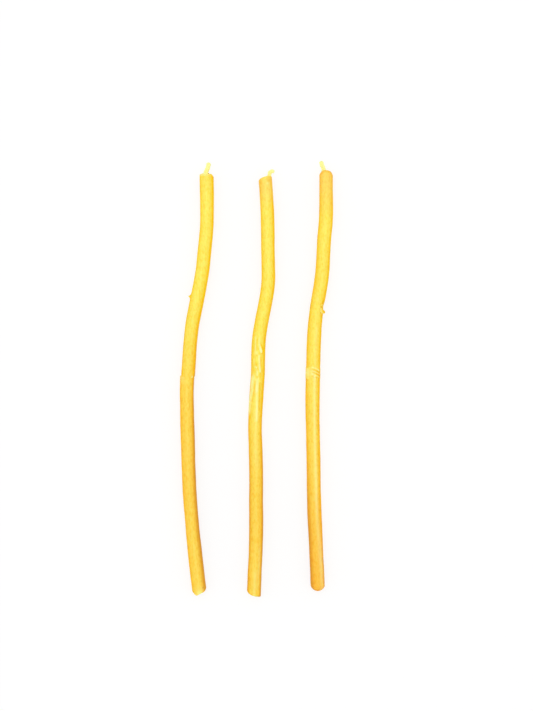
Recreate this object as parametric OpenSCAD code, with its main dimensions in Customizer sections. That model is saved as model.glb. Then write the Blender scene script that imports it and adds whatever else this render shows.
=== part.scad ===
// A set of three slim beeswax tapers, dipped by hand and bent by handling.
// They lie side by side on z = 0 with their wicks towards +Y, and the set is
// centred on the origin. Each candle is a cotton wick, the core that the first
// dips build up on it, the coat of the last dips, and the free end of the wick.

/* [Wax] */
// Diameter over the last coat, where a candle is thinnest
candle_d = 6.3; // [6:0.1:9]
// Thickness of the coat that the last dips leave on the core
coat_t = 0.75; // [0.5:0.05:1]
// Gap between one layer and the next, on the radius
layer_gap = 0.05; // [0.04:0.01:0.08]
// Straight length at the butt of every candle, which goes into a holder
butt_l = 20; // [16:0.5:30]

/* [Wick] */
// Diameter of the waxed cotton wick
wick_d = 1.9; // [1.2:0.1:2.2]
// Height above the wax of the point where the wick bends over
neck_h = 0.9; // [0.8:0.05:1.5]
// Gap round the bend, between the standing wick and its free end
bend_gap = 0.2; // [0.15:0.01:0.3]

/* [Left candle] */
// Length along its bends, from the butt to the top of the wax
left_l = 200.5; // [150:0.5:300]
// Distance of the middle of the butt to the right of the centre of the set
left_x = -27; // [-40:0.1:-20]
// Distance of the middle of the butt above the centre of the set
left_y = -102.3; // [-120:0.1:-90]
// Lean of the butt to the left of +Y, in degrees
left_lean = 6.6; // [-10:0.1:10]
// Distance of the wick to the right of the middle, at the top
left_wick_side = -0.3; // [-1:0.05:1]
// Lean of the free end to the left of the candle's own direction, in degrees
left_tip_lean = -28; // [-30:1:30]
// Length of the free end, from the bend to its tip
left_tip_l = 4.8; // [3.6:0.1:8]
// Further turn of the free end along its length, in degrees to the left
left_tip_curl = 26; // [-75:1:75]
// Height of the drip on the left side
left_drip_h = 0.8; // [0.5:0.1:2]

/* [Middle candle] */
// Length along its bends, from the butt to the top of the wax
middle_l = 199.5; // [150:0.5:300]
// Distance of the middle of the butt to the right of the centre of the set
middle_x = -1.3; // [-8:0.1:8]
// Distance of the middle of the butt above the centre of the set
middle_y = -103; // [-120:0.1:-90]
// Lean of the butt to the left of +Y, in degrees
middle_lean = -2.2; // [-10:0.1:10]
// Distance of the wick to the right of the middle, at the top
middle_wick_side = 1.9; // [-1.9:0.05:1.9]
// Lean of the free end to the left of the candle's own direction, in degrees
middle_tip_lean = -16; // [-30:1:30]
// Length of the free end, from the bend to its tip
middle_tip_l = 3.6; // [3.6:0.1:8]
// Further turn of the free end along its length, in degrees to the left
middle_tip_curl = -75; // [-75:1:75]

/* [Right candle] */
// Length along its bends, from the butt to the top of the wax
right_l = 200.2; // [150:0.5:300]
// Distance of the middle of the butt to the right of the centre of the set
right_x = 29.2; // [20:0.1:40]
// Distance of the middle of the butt above the centre of the set
right_y = -100.8; // [-120:0.1:-90]
// Lean of the butt to the left of +Y, in degrees
right_lean = 2.8; // [-10:0.1:10]
// Distance of the wick to the right of the middle, at the top
right_wick_side = -1.15; // [-1.9:0.05:1.9]
// Lean of the free end to the left of the candle's own direction, in degrees
right_tip_lean = 27; // [-30:1:30]
// Length of the free end, from the bend to its tip
right_tip_l = 3.9; // [3.6:0.1:8]
// Further turn of the free end along its length, in degrees to the left
right_tip_curl = -24; // [-75:1:75]
// Extra radius of the rounded ends over the radius of the candle
right_dome_extra = 0.35; // [0.25:0.05:1]
// Length of the chip that has lifted from the right side
right_chip_l = 3.4; // [2:0.1:5]
// Height of the chip above the wax
right_chip_h = 0.5; // [0.3:0.05:0.8]

/* [Hidden] */

// Extra diameter of each butt, over the thinnest place of a candle
left_butt_swell = 0.5;
middle_butt_swell = 0.38;
right_butt_swell = 0.42;

// How a candle runs on from its butt to its top, as a list of stretches. Each
// is [share of the length, turn to the left in degrees, extra diameter], and
// neighbours differ in diameter, as hand-dipped wax does.
LENGTH = 0;
TURN = 1;
SWELL = 2;
left_bends = [
    [36, -4.2, 0.28], [36.5, -1.8, 0.34], [13.5, -4.4, 0.26], [11.5, 0, 0.32], [15.5, -7.4, 0.26],
    [14.5, 0, 0.34], [11.5, 4.7, 0.28], [9.5, 0, 0.22], [15, 7.4, 0.28], [17, 0, 0.34],
];
middle_bends = [
    [17, 2.2, 0.32], [16, 0, 0.38], [11.5, 1.7, 0.3], [9.5, 0, 0.36], [15, -5.2, 0.3],
    [14, 0, 0.36], [6, 2.5, 0.28], [7, 0, 0.34], [11.5, -9.5, 0.26], [14.5, 0, 0.32],
    [11.5, 11.2, 0.22], [22, 0, 0.16], [9.5, 2.8, 0.1], [14.5, 0, 0.18],
];
right_bends = [
    [12.5, -0.5, 0.36], [16, -1.3, 0.42], [27.5, 0, 0.36], [14.5, -0.9, 0.42], [10, -1.3, 0.48],
    [5.7, 0, 0.6], [17.5, -2.3, 0.44], [13, -5.6, 0.36], [10, 0, 0.42], [9.5, 6.3, 0.34],
    [7, 0, 0.28], [6.5, -3.1, 0.36], [13.5, 6.1, 0.3], [17, 0, 0.22],
];

// The route of a whole candle, with the shares turned into lengths
function shares_from(bends, i) = i < len(bends) ? bends[i][LENGTH] + shares_from(bends, i + 1) : 0;
function route_of(l, butt_swell, bends) =
    let (share_l = (l - butt_l) / shares_from(bends, 0))
    concat([[butt_l, 0, butt_swell]], [for (s = bends) [s[LENGTH] * share_l, s[TURN], s[SWELL]]]);
left_route = route_of(left_l, left_butt_swell, left_bends);
middle_route = route_of(middle_l, middle_butt_swell, middle_bends);
right_route = route_of(right_l, right_butt_swell, right_bends);

// The flat cuts that shape an end: [tilt to the right in degrees, distance out]
left_butt_cuts = [[-19.5, -0.3], [50, 1.45], [-60, 1.7]];
left_top_cuts = [[0, -0.2], [50, 1.7]];
middle_butt_cuts = [[7, -0.1], [25, 0.1], [49, 1.15]];
middle_top_cuts = [[15, 0.55], [-13, -0.25], [-29, 0.3], [-50, 1.35]];

// Where the drip and the chip sit: [stretch of the route, distance along it]
left_drip_place = [6, 9.2];
right_chip_place = [8, 9];
// Radius of the drip where it leaves the wax
drip_r = 0.8;
// Width of the chip, and how far it leans off the wax, in degrees
chip_w = 1.8;
chip_lift = 12;

// Overlap of neighbouring stretches, and wax past each end before it is cut
lap = 0.2;
spare = 3;
// Straight length of the wick just under the top, where it leaves the wax
exit_l = 2;
// Swell of alternate stretches of the wick
wick_swell = 0.06;
// Straight length of a free end, clear of the bend, before it curls
tip_straight_l = 1.4;
// How much flatter than a ball the rounded ends of the wick are, on the radius
ball_extra = 0.06;
// Thickness of the chip, and radius of the drip's point
chip_t = 1;
drip_point_r = 0.1;

core_d = candle_d - 2 * (coat_t + layer_gap);
dome_r = candle_d / 2 + right_dome_extra;
ball_r = wick_d / 2 + ball_extra;
fine = 256;
round_fn = 64;

wax_yellow = [0.98, 0.78, 0.26];
core_yellow = [0.99, 0.86, 0.42];
wick_cream = [0.98, 0.95, 0.62];

function bend_r(s) = s[LENGTH] * 180 / (PI * s[TURN]);
function deg_of(l, s) = l * 180 / (PI * bend_r(s));
function thickest(route) = candle_d + max([for (s = route) s[SWELL]]);

// The wick follows the candle, then drifts to one side in an S under the top
function wick_route(route, side) =
    let (n = len(route) - 1)
    let (drift_l = (route[n][LENGTH] - exit_l) / 2)
    let (turn = side / drift_l * 180 / PI)
    concat(
        [for (i = [0:n - 1]) [route[i][LENGTH], route[i][TURN], i % 2 == 0 ? wick_swell : 0]],
        [[drift_l, -turn, n % 2 == 0 ? wick_swell : 0]],
        [[drift_l, turn, n % 2 == 0 ? 0 : wick_swell]],
        [[exit_l, 0, n % 2 == 0 ? wick_swell : 0]]
    );

// The free end runs straight clear of the bend and then curls
function tip_route(l, curl) = [[tip_straight_l, 0, 0], [l - tip_straight_l, curl, wick_swell]];

// Moves its children from the start of a stretch to its end
module past(s) {
    if (s[TURN] == 0)
        translate([0, s[LENGTH], 0]) children();
    else
        translate([-bend_r(s), 0, 0]) rotate([0, 0, s[TURN]]) translate([bend_r(s), 0, 0]) children();
}

// Moves its children along the first n stretches of a route
module after(route, n, i = 0) {
    if (i >= n)
        children();
    else
        past(route[i]) after(route, n, i + 1) children();
}

module at_top(route) {
    after(route, len(route)) children();
}

// One stretch as a round bar, with extra length at its start and its end
module stretch(s, d, start, end) {
    if (s[TURN] == 0)
        translate([0, -start, 0]) rotate([-90, 0, 0])
            cylinder(d = d, h = s[LENGTH] + start + end, $fn = round_fn);
    else
        translate([-bend_r(s), 0, 0])
            rotate_extrude(angle = s[TURN] + deg_of(start + end, s), start = -deg_of(start, s), $fn = fine)
                translate([bend_r(s), 0]) circle(d = d, $fn = round_fn);
}

// A round bar along a whole route, and past both its ends
module bar(route, d, past_ends = spare, i = 0) {
    last = len(route) - 1;
    stretch(route[i], d + route[i][SWELL], i == 0 ? past_ends : lap, i == last ? past_ends : lap);
    if (i < last)
        past(route[i]) bar(route, d, past_ends, i + 1);
}

// All that lies beyond a flat cut, for an end that points along +Y
module beyond_cut(cut) {
    size = 4 * candle_d;
    rotate([0, 0, -cut[0]]) translate([-size / 2, cut[1], -size / 2]) cube(size);
}

// All that lies beyond a ball at the origin, for an end that points along +Y
module beyond_ball(r, reach) {
    difference() {
        rotate([-90, 0, 0]) cylinder(d = 4 * reach, h = 2 * reach, $fn = round_fn);
        sphere(r = r, $fn = round_fn);
    }
}

// Flat ends, with the top drawn in by an inset for the layers under the coat
module trim_top(route, top_cuts, inset) {
    at_top(route)
        for (cut = top_cuts)
            beyond_cut([cut[0], cut[1] - inset]);
}

module trim_butt(butt_cuts) {
    for (cut = butt_cuts)
        rotate([0, 0, 180]) beyond_cut(cut);
}

// Rounded ends, drawn in by an inset for the layers under the coat
module trim_domed_ends(route, inset) {
    translate([0, dome_r, 0]) rotate([0, 0, 180]) beyond_ball(dome_r - inset, candle_d);
    at_top(route) translate([0, -dome_r, 0]) beyond_ball(dome_r - inset, candle_d);
}

module wick_channel(route, side) {
    bar(wick_route(route, side), wick_d + 2 * layer_gap);
}

// The point where a wick bends over, with +Y along the candle
module at_bend(route, side) {
    at_top(wick_route(route, side)) translate([0, neck_h, 0]) children();
}

module wick(route, side) {
    difference() {
        bar(wick_route(route, side), wick_d);
        at_bend(route, side) beyond_ball(ball_r, candle_d);
        children();
    }
}

module wick_tip(route, side, lean, l, curl) {
    free = tip_route(l, curl);
    at_bend(route, side) rotate([0, 0, lean]) difference() {
        bar(free, wick_d, lap);
        at_top(free) translate([0, -ball_r, 0]) beyond_ball(ball_r + wick_swell / 2, wick_d);
        sphere(r = ball_r + bend_gap, $fn = round_fn);
    }
}

// Lays a candle on z = 0, with the middle of its butt at a place and leaning
module lay(x, y, lean, route) {
    translate([x, y, thickest(route) / 2]) rotate([0, 0, lean]) children();
}

module lay_left() {
    lay(left_x, left_y, left_lean, left_route) children();
}

module lay_middle() {
    lay(middle_x, middle_y, middle_lean, middle_route) children();
}

module lay_right() {
    lay(right_x, right_y, right_lean, right_route) children();
}

// The coat of a candle that was cut off at the butt, where its layers show. It
// closes over the top of the core, and any extra wax on it is given as children
module cut_coat(route, side, butt_cuts, top_cuts) {
    difference() {
        union() {
            bar(route, candle_d);
            children();
        }
        difference() {
            bar(route, core_d + 2 * layer_gap);
            trim_top(route, top_cuts, coat_t);
        }
        wick_channel(route, side);
        trim_butt(butt_cuts);
        trim_top(route, top_cuts, 0);
    }
}

module cut_core(route, side, butt_cuts, top_cuts) {
    difference() {
        bar(route, core_d);
        wick_channel(route, side);
        trim_butt(butt_cuts);
        trim_top(route, top_cuts, coat_t + layer_gap);
    }
}

// A drop of wax that set as a small point on the side
module drip() {
    root = candle_d / 2 - drip_r / 2;
    after(left_route, left_drip_place[0]) translate([0, left_drip_place[1], 0])
        rotate([0, -90, 0]) translate([0, 0, root])
            cylinder(r1 = drip_r, r2 = drip_point_r, h = left_drip_h + drip_r / 2, $fn = round_fn);
}

// A chip of the coat that has lifted at one end
module chip() {
    after(right_route, right_chip_place[0])
        translate([candle_d / 2 + right_chip_h - chip_t, right_chip_place[1], -chip_w / 2])
            rotate([0, 0, chip_lift])
                translate([0, -right_chip_l / 2, 0]) cube([chip_t, right_chip_l, chip_w]);
}

// The right candle's coat closes over its butt, so its wick stops inside
module right_wick_channel() {
    difference() {
        wick_channel(right_route, right_wick_side);
        rotate([0, 0, 180]) beyond_cut([0, -coat_t]);
    }
}

module left_wax_coat() {
    color(wax_yellow) lay_left()
        cut_coat(left_route, left_wick_side, left_butt_cuts, left_top_cuts) drip();
}

module left_wax_core() {
    color(core_yellow) lay_left()
        cut_core(left_route, left_wick_side, left_butt_cuts, left_top_cuts);
}

module left_wick() {
    color(wick_cream) lay_left()
        wick(left_route, left_wick_side) trim_butt(left_butt_cuts);
}

module left_wick_tip() {
    color(wick_cream) lay_left()
        wick_tip(left_route, left_wick_side, left_tip_lean, left_tip_l, left_tip_curl);
}

module middle_wax_coat() {
    color(wax_yellow) lay_middle()
        cut_coat(middle_route, middle_wick_side, middle_butt_cuts, middle_top_cuts);
}

module middle_wax_core() {
    color(core_yellow) lay_middle()
        cut_core(middle_route, middle_wick_side, middle_butt_cuts, middle_top_cuts);
}

module middle_wick() {
    color(wick_cream) lay_middle()
        wick(middle_route, middle_wick_side) trim_butt(middle_butt_cuts);
}

module middle_wick_tip() {
    color(wick_cream) lay_middle()
        wick_tip(middle_route, middle_wick_side, middle_tip_lean, middle_tip_l, middle_tip_curl);
}

module right_wax_coat() {
    color(wax_yellow) lay_right() difference() {
        union() {
            bar(right_route, candle_d);
            chip();
        }
        difference() {
            bar(right_route, core_d + 2 * layer_gap);
            trim_domed_ends(right_route, coat_t);
        }
        right_wick_channel();
        trim_domed_ends(right_route, 0);
    }
}

module right_wax_core() {
    color(core_yellow) lay_right() difference() {
        bar(right_route, core_d);
        right_wick_channel();
        trim_domed_ends(right_route, coat_t + layer_gap);
    }
}

module right_wick() {
    color(wick_cream) lay_right()
        wick(right_route, right_wick_side) rotate([0, 0, 180]) beyond_cut([0, -coat_t - layer_gap]);
}

module right_wick_tip() {
    color(wick_cream) lay_right()
        wick_tip(right_route, right_wick_side, right_tip_lean, right_tip_l, right_tip_curl);
}

left_wax_coat();
left_wax_core();
left_wick();
left_wick_tip();
middle_wax_coat();
middle_wax_core();
middle_wick();
middle_wick_tip();
right_wax_coat();
right_wax_core();
right_wick();
right_wick_tip();
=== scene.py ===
# %% [markdown]
# # Three hand-made beeswax tapers
# Three slim candles lie side by side on a white table, wicks up the page. Each one is a cotton
# wick, the core of wax that the first dips built up on it, and the coat of the last dips, which
# took up every bend, lap and bruise of being handled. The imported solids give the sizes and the
# places, and this lesson dresses them: the coats and the wicks are made again as fine surfaces,
# and the cores keep their solids under a wax finish.

import bpy
import numpy as np
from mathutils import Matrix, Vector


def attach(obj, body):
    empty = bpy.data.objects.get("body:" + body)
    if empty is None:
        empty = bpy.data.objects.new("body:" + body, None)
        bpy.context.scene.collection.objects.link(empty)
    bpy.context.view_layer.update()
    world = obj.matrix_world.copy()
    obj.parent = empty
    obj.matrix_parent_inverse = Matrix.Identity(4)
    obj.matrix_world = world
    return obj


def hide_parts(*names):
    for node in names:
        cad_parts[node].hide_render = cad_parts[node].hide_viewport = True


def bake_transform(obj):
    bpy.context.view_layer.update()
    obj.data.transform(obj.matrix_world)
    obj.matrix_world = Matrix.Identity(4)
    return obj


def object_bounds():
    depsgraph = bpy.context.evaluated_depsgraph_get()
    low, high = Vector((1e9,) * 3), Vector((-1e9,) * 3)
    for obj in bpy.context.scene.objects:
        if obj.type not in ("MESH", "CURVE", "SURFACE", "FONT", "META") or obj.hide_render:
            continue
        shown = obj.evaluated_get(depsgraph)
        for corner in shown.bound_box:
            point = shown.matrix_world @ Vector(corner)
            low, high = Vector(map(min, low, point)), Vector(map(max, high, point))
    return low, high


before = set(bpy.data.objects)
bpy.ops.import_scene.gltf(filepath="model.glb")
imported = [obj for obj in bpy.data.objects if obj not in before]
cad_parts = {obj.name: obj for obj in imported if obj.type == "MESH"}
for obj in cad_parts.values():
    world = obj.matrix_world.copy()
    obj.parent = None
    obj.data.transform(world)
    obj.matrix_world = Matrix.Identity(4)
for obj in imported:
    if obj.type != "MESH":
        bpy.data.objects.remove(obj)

CAD_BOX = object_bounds()
MM = 0.001
box_mm = [round(value / MM, 1) for corner in CAD_BOX for value in corner]
print("solids", len(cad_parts), "box in mm", box_mm)

# %% [markdown]
# ## The view
# The photograph looks straight down, and the candles fill three fifths of its height. A long
# lens keeps them nearly free of perspective, so the height of the camera follows from the lens
# and from the height of table that the picture takes in.

# %% Camera
FIELD_H = 337.7 * MM
LENS_MM = 85
SENSOR_MM = 36
VIEW_CENTRE = (4.70 * MM, 11.02 * MM)
AXIS_LEVEL = 3.4 * MM

camera_data = bpy.data.cameras.new("camera")
camera_data.lens = LENS_MM
camera_data.sensor_width = SENSOR_MM
camera = bpy.data.objects.new("camera", camera_data)
camera.location = (*VIEW_CENTRE, AXIS_LEVEL + FIELD_H * LENS_MM / SENSOR_MM)
bpy.context.scene.collection.objects.link(camera)
bpy.context.scene.camera = camera
print("camera height in mm", round(camera.location.z / MM, 1))

# %% [markdown]
# ## The line of each candle
# A candle that was bent by hand is a row of straight and curved stretches. The lists repeat those
# of the solids: length in mm, turn to the left in degrees, and extra diameter in mm, from the butt
# to the top. Only the pinched band of the right candle is left to its marks. A spline through
# hand-set points would also do, but with stretches the heading is known everywhere, and the place
# is just the sum of small steps along it.

# %% Stretches
CANDLE_D = 6.3
LEFT = np.array([
    (20, 0, 0.5), (36, -4.2, 0.28), (36.5, -1.8, 0.34), (13.5, -4.4, 0.26), (11.5, 0, 0.32),
    (15.5, -7.4, 0.26), (14.5, 0, 0.34), (11.5, 4.7, 0.28), (9.5, 0, 0.22), (15, 7.4, 0.28),
    (17, 0, 0.34),
])
MIDDLE = np.array([
    (20, 0, 0.38), (17, 2.2, 0.32), (16, 0, 0.38), (11.5, 1.7, 0.3), (9.5, 0, 0.36),
    (15, -5.2, 0.3), (14, 0, 0.36), (6, 2.5, 0.28), (7, 0, 0.34), (11.5, -9.5, 0.26),
    (14.5, 0, 0.32), (11.5, 11.2, 0.22), (22, 0, 0.16), (9.5, 2.8, 0.1), (14.5, 0, 0.18),
])
RIGHT = np.array([
    (20, 0, 0.42), (12.5, -0.5, 0.36), (16, -1.3, 0.42), (27.5, 0, 0.36), (14.5, -0.9, 0.42),
    (10, -1.3, 0.48), (5.7, 0, 0.44), (17.5, -2.3, 0.44), (13, -5.6, 0.36), (10, 0, 0.42),
    (9.5, 6.3, 0.34), (7, 0, 0.28), (6.5, -3.1, 0.36), (13.5, 6.1, 0.3), (17, 0, 0.22),
])

# %% Walking along a line
WALK_STEP = 0.02
SPARE = 8.0


def walk(stretches, start, lean):
    """The heading turns evenly along each stretch. The place is the sum of small steps, each one to
    the side by minus the sine of the heading and ahead by its cosine."""
    knots = np.concatenate([[0.0], np.cumsum(stretches[:, 0])])
    turns = lean + np.concatenate([[0.0], np.cumsum(stretches[:, 1])])
    s = np.arange(-SPARE, knots[-1] + SPARE, WALK_STEP)
    heading = np.radians(np.interp(s, knots, turns))
    halfway = (heading[1:] + heading[:-1]) / 2
    x = np.concatenate([[0.0], np.cumsum(-np.sin(halfway) * WALK_STEP)])
    y = np.concatenate([[0.0], np.cumsum(np.cos(halfway) * WALK_STEP)])
    x += start[0] - np.interp(0.0, s, x)
    y += start[1] - np.interp(0.0, s, y)
    return {"s": s, "x": x, "y": y, "heading": heading, "length": knots[-1]}


def beside(line, s, right, up):
    """The place at distance s along a line, so far to its right and so high over the table."""
    heading = np.interp(s, line["s"], line["heading"])
    x = np.interp(s, line["s"], line["x"]) + right * np.cos(heading)
    y = np.interp(s, line["s"], line["y"]) + right * np.sin(heading)
    return np.stack(np.broadcast_arrays(x, y, up), axis=-1)


# %% The three lines
def candle(name, stretches, start, lean, thickest):
    """What every later step needs to know of one candle, in mm and degrees."""
    middles = np.cumsum(stretches[:, 0]) - stretches[:, 0] / 2
    return {
        "name": name,
        "stretches": stretches,
        "start": start,
        "lean": lean,
        "line": walk(stretches, start, lean),
        "level": (CANDLE_D + thickest) / 2,
        "radius": lambda s: np.interp(s, middles, (CANDLE_D + stretches[:, 2]) / 2),
    }


left = candle("left", LEFT, start=(-27, -102.3), lean=6.6, thickest=0.5)
middle = candle("middle", MIDDLE, start=(-1.3, -103), lean=-2.2, thickest=0.38)
right = candle("right", RIGHT, start=(29.2, -100.8), lean=2.8, thickest=0.6)
for c in (left, middle, right):
    print(c["name"], "length in mm", round(c["line"]["length"], 1))

# %% [markdown]
# ## Tools for marks on wax
# Every mark is worked out on the whole surface at once, from two coordinates: s, the distance from
# the butt, and the arc, the distance round the wax to the right of its crown. A mark is then a
# smooth window on those two, which can raise the wax, pale it or deepen its colour. Small spots and
# broad flushes of colour need only a few numbers each, so every candle has a list of each.

# %% Windows
MEAN_R = 3.25
TRAIL_FADE = 0.6
SCORE_FADE = 0.5


def ease(x, low, high):
    """0 on the side of low and 1 on the side of high, with the smooth step 3t^2 - 2t^3 between them.
    Where low is the greater of the two, it falls instead of rising."""
    t = np.clip((x - low) / (high - low), 0.0, 1.0)
    return t * t * (3 - 2 * t)


def span(s, start, end, soft):
    """1 from start to end, fading to 0 over the soft length at each side."""
    return ease(s, start - soft, start) * ease(s, end + soft, end)


def arc_at(side):
    """The arc of a place that is seen from above at this distance to the right of the middle."""
    return MEAN_R * np.arcsin(np.clip(side / MEAN_R, -1.0, 1.0))


def wrapped(arc):
    """An arc brought into the half turn on either side of the crown."""
    half_turn = np.pi * MEAN_R
    return (arc + half_turn) % (2 * half_turn) - half_turn


def round_right(arc):
    """How far round to the right a place is: the sine of its angle from the crown."""
    return np.sin(wrapped(arc) / MEAN_R)


def patch(s, arc, at_s, at_side, length, width):
    """A bell-shaped spot: the exponential of minus the squared distance, measured in half sizes."""
    return np.exp(-(((s - at_s) / length) ** 2) - (wrapped(arc - arc_at(at_side)) / width) ** 2)


def trail(s, arc, places, width, fade=TRAIL_FADE):
    """A mark along a line through given places, each [distance along, side]: a bell across the line,
    faded at both of its ends."""
    at_s, at_side = np.array(sorted(places)).T
    middle_arc = np.interp(s, at_s, arc_at(at_side))
    across = np.exp(-((wrapped(arc - middle_arc) / width) ** 2))
    return across * span(s, at_s[0] + fade / 2, at_s[-1] - fade / 2, fade)


def score(s, arc, places, width):
    """A mark that runs round the wax through given places, each [side, distance along]: a bell across
    the line, faded at both of its ends."""
    at_side, at_s = np.array(sorted(places)).T
    at_arc = arc_at(at_side)
    across = np.exp(-(((s - np.interp(arc, at_arc, at_s)) / width) ** 2))
    return across * span(arc, at_arc[0], at_arc[-1], SCORE_FADE)


# %% Spots and flushes
def no_marks(s):
    """Marks that change nothing: relief and shift to the right in mm, and paleness, depth and amber
    of the colour from 0 to 1."""
    return {mark: np.zeros(s.shape) for mark in ("relief", "shift", "pale", "deep", "amber")}


def add_spots(marks, s, arc, spots):
    """Each spot is the mark that it changes and by how much, then the distance along and the side of
    its middle, and its half length and half width."""
    for mark, strength, *place in spots:
        marks[mark] += strength * patch(s, arc, *place)


def add_flushes(marks, s, arc, flushes):
    """Each flush is the mark that it changes and by how much, the distances along between which it
    comes up, its flank, and the sines of the angle from the crown between which it comes up."""
    right_sine = round_right(arc)
    flanks = {"left": -right_sine, "right": right_sine, "both": np.abs(right_sine), "all": 1.0}
    for mark, strength, along, flank, outward in flushes:
        marks[mark] += strength * ease(s, *along) * ease(flanks[flank], *outward)


# %% [markdown]
# ## How uneven the wax is
# Dipped wax is never a true cylinder. A few slow waves along the candle, some of them turning round
# it, give the soft highs and lows that the light picks up. The phases come from a seeded generator,
# so every run gives the same candles.

# %% Slow waves
# Length of a wave along the candle, its turns round it, and its depth, in mm
WAVES = [(67, 0, 0.03), (41, 1, 0.04), (29, 2, 0.03), (17, 1, 0.02), (11, 3, 0.014), (6.5, 2, 0.01)]


def unevenness(s, phi, seed):
    """The sum of sine waves along the candle and round it, each with its own phase."""
    phases = np.random.default_rng(seed).uniform(0, 2 * np.pi, len(WAVES))
    total = np.zeros(np.broadcast(s, phi).shape)
    for (wave_l, turns, depth), phase in zip(WAVES, phases):
        total += depth * np.sin(2 * np.pi * s / wave_l + turns * phi + phase)
    return total


# %% [markdown]
# ## The marks of the left candle
# Going up: dark specks by the slanted butt, painted shade that browns the right flank on the lower half,
# a lap where one length of wax was pressed onto the next, with a painted shadow above its edge and a
# painted highlight on its lip, and a drop that set as a small thorn on the left, with painted shade
# beside it.

# %% Left marks
LAP_S = 103.8
LAP_LIP = 0.28
LAP_FALL = 7.0
# Waves of the lap's edge: depth in mm, rate round the wax in radians per mm, and phase
LAP_WAVE, LAP_RATE, LAP_PHASE = 0.35, 1.4, 0.86
# Where the lip drops, in mm past that edge, and the sines from the crown between which it comes up
LIP_DROP, LIP_FLANK = (0.1, -0.3), (0.1, 0.95)
# Distances along between which the painted highlight on the lip comes up, and between which the shift
# dies away
LIP_HIGHLIGHT_SPAN, SHIFT_END = (98, 103), (172, 140)
# How far the wax is shifted, and half the length over which that comes about
LAP_SHIFT, SHIFT_HALF = 0.24, 0.25
THORN_S = 141.3
THORN_H = 1.25
THORN_L, THORN_W = 0.6, 0.5
THORN_POWER = 1.3
THORN_PALE, LIP_HIGHLIGHT = 0.3, 0.3
# Where the painted shade that browns the right flank begins, as [distance along, sine of the angle from
# the crown]
FLANK_SHADE_FROM = np.array([(20, 0.3), (60, 0.4), (100, 0.68), (150, 0.95)])
FLANK_SHADE_FULL = 1.1
# The share of it that is lost, and the distances along between which that happens and all of it ends
FLANK_SHADE_LOSS, FLANK_SHADE_LOST, FLANK_SHADE_END = 0.6, (92, 118), (160, 120)
LEFT_SPOTS = [
    ("relief", 0.12, 103.6, 2.15, 0.45, 0.35),
    ("pale", 1.0, 103.6, 2.15, 0.45, 0.35),
    ("pale", 0.6, -0.5, 0.4, 3.0, 1.6),
    ("deep", 0.7, 3.2, 2.0, 0.45, 0.35),
    ("deep", 0.3, 6.4, 1.6, 0.6, 0.4),
    # painted shadow above the edge of the lap
    ("amber", 0.35, 105.2, -2.7, 1.4, 0.9),
    # painted shade beside the thorn
    ("amber", 0.4, 142.0, -3.2, 0.5, 0.7),
]
LEFT_FLUSHES = [
    ("pale", 0.5, (199.0, 200.0), "left", (-0.5, 0.2)),
    ("amber", 0.3, (194, 199), "right", (0.6, 1.0)),
]


def left_marks(s, arc):
    """The thorn is the exponential of minus a power of the distance. The lip rises to the lap's wavy
    edge as an exponential and ends there, on the left. Beyond the lap the wax is shifted."""
    marks = no_marks(s)
    far = np.hypot((s - THORN_S) / THORN_L, wrapped(arc + np.pi / 2 * MEAN_R) / THORN_W)
    past_lap = s - LAP_S - LAP_WAVE * np.sin(LAP_RATE * wrapped(arc) + LAP_PHASE)
    lip = np.exp(np.minimum(past_lap, 0) / LAP_FALL) * ease(past_lap, *LIP_DROP)
    lip *= ease(-round_right(arc), *LIP_FLANK)
    # painted shade: the right flank browns on the lower half
    brown = ease(round_right(arc), np.interp(s, *FLANK_SHADE_FROM.T), FLANK_SHADE_FULL)
    marks["relief"] += THORN_H * np.exp(-(far**THORN_POWER)) + LAP_LIP * lip
    marks["shift"] += LAP_SHIFT * ease(s, LAP_S - SHIFT_HALF, LAP_S + SHIFT_HALF) * ease(s, *SHIFT_END)
    marks["pale"] += THORN_PALE * np.exp(-(far**2)) + LIP_HIGHLIGHT * lip * ease(s, *LIP_HIGHLIGHT_SPAN)
    marks["deep"] += brown * (1 - FLANK_SHADE_LOSS * ease(s, *FLANK_SHADE_LOST)) * ease(s, *FLANK_SHADE_END)
    add_spots(marks, s, arc, LEFT_SPOTS)
    add_flushes(marks, s, arc, LEFT_FLUSHES)
    return marks


# %% [markdown]
# ## The marks of the middle candle
# Half way up, the coat has torn into pale flakes that run lengthwise, with painted shade in the hollows
# between them. Below them a rolled ridge catches the light, with a painted highlight along it, one nick
# sits in the left edge, and another nick, darkened with painted shade, and two pale streaks lie near the
# butt. Both flanks of the lower half are darkened with painted shade.

# %% Middle marks
# Tears of the coat: places as [distance along, side], width and paleness
TEARS = [
    ([(123.0, -1.7), (121.3, -1.5), (118.9, -1.35), (116.2, -1.35), (114.6, -1.4)], 0.36, 0.45),
    ([(122.6, 0.05), (120.7, 0.25), (119.0, 0.4)], 0.4, 0.5),
    ([(119.3, 0.5), (118.0, 0.75), (116.3, 1.35), (115.4, 1.45)], 0.4, 0.8),
    ([(116.0, -0.55), (114.6, -0.45)], 0.3, 0.6),
    ([(114.3, 0.5), (111.9, 0.55), (110.0, 0.7), (108.4, 0.75), (106.3, 1.1)], 0.36, 0.9),
    ([(109.0, -1.25), (108.1, -0.6)], 0.3, 0.75),
    ([(107.0, -0.25), (104.6, -0.2)], 0.4, 0.75),
    ([(103.6, 0.4), (102.6, 0.35)], 0.4, 0.55),
    ([(102.9, -0.25), (101.0, 0.05), (99.1, 0.1), (96.4, -0.05)], 0.65, 0.9),
    ([(104.5, -2.1), (102.3, -2.3), (100.4, -2.4), (97.1, -2.4), (94.2, -2.65), (90.2, -2.9),
      (86.4, -3.0)], 1.05, 0.75),
    ([(96.2, 0.2), (93.4, 0.3), (91.0, 0.5), (87.5, 0.6), (83.0, 0.65)], 0.55, 0.62),
    ([(112.8, -2.0), (108.6, -1.8)], 0.5, 0.15),
]
# A tear fades at its ends over so many of its widths, stands up so far, and takes so much amber away
TEAR_FADE, TEAR_H, TEAR_COOLING = 3.0, 0.08, 0.4
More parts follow.
